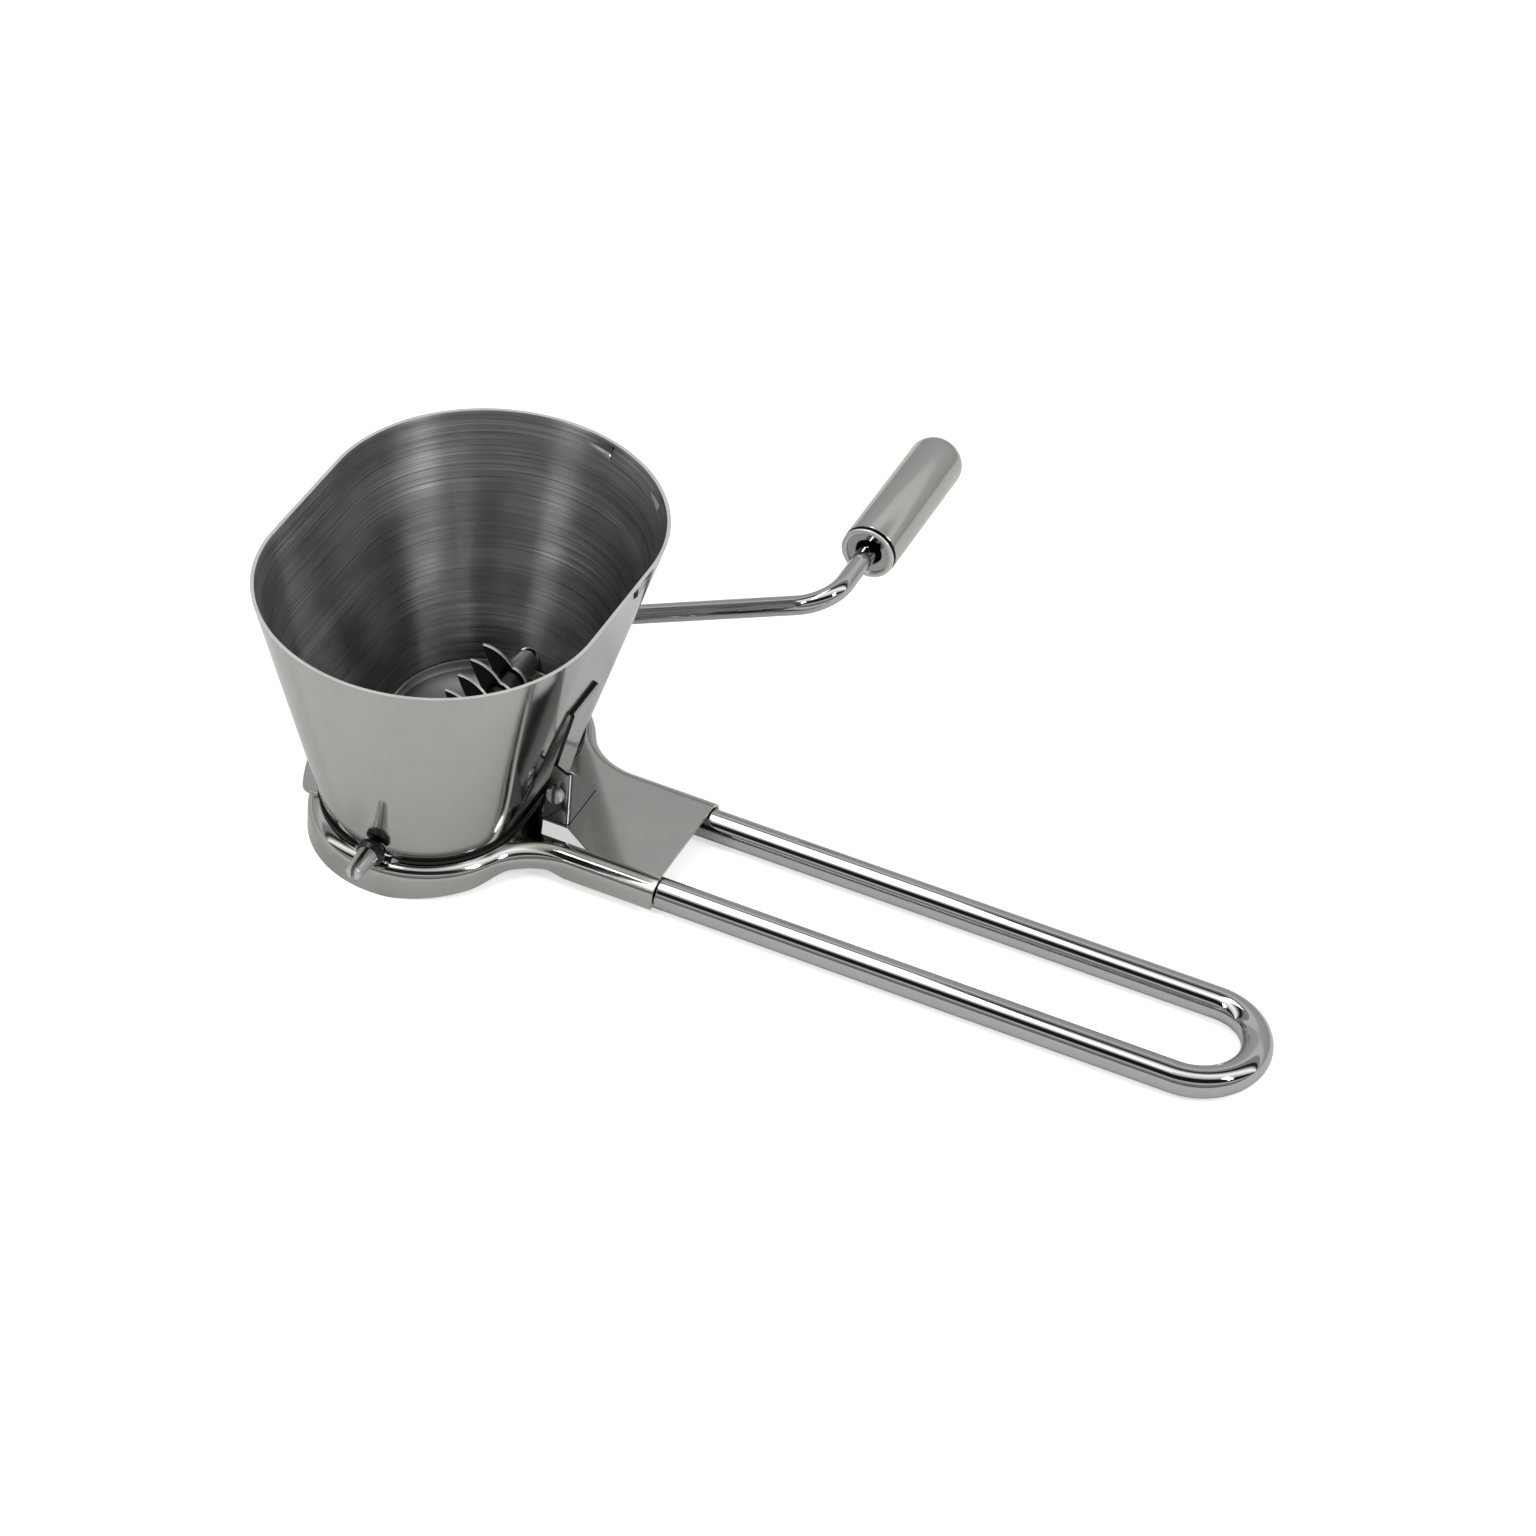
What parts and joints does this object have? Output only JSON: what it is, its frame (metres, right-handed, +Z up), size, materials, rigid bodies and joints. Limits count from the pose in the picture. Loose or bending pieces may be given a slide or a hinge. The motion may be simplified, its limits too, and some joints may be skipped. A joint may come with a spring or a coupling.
{
  "type": "rotary herb mill",
  "caption": "Hand-cranked steel herb chopper: a flared oblong hopper on a pressed frame with a wire loop handle, over sickle blades that pass through a slotted floor.",
  "frame": {"origin": "on the table under the middle of the part's box", "axes": "+X from the hopper along the handle, +Y along the rotor shaft towards the crank, +Z up"},
  "size_m": [0.2174, 0.1632, 0.0628],
  "materials": {
    "sheet": "satin pressed sheet",
    "wire": "polished",
    "blade": "ground"
  },
  "bodies": {
    "mill": {"hopper": "sheet", "frame": "sheet", "handle_wire": "wire", "comb_floor": "sheet", "pin_bracket": "sheet", "split_pin": "wire", "hopper_strap": "sheet", "catch_ear": "sheet"},
    "crank": {"crank_rod": "wire", "shaft_tip": "wire", "blade_01": "blade", "blade_02": "blade", "blade_03": "blade", "blade_04": "blade", "blade_05": "blade", "blade_06": "blade", "blade_07": "blade", "blade_08": "blade", "blade_09": "blade", "blade_10": "blade", "spacer_01": "wire", "spacer_02": "wire", "spacer_03": "wire", "spacer_04": "wire", "spacer_05": "wire", "spacer_06": "wire", "spacer_07": "wire", "spacer_08": "wire", "spacer_09": "wire", "spacer_10": "wire", "spacer_11": "wire", "grip_retainer": "wire"},
    "grip": {"grip_sleeve": "wire", "grip_cap": "sheet"}
  },
  "joints": [
    {"name": "crank_spin", "type": "hinge", "parent": "mill", "child": "crank", "pos_m": [-0.0727, 0, 0.0104], "axis": [0, 1, 0], "continuous": true},
    {"name": "grip_spin", "type": "hinge", "parent": "crank", "child": "grip", "pos_m": [-0.0132, 0.04485, 0.0358], "axis": [0, 1, 0], "continuous": true}
  ]
}
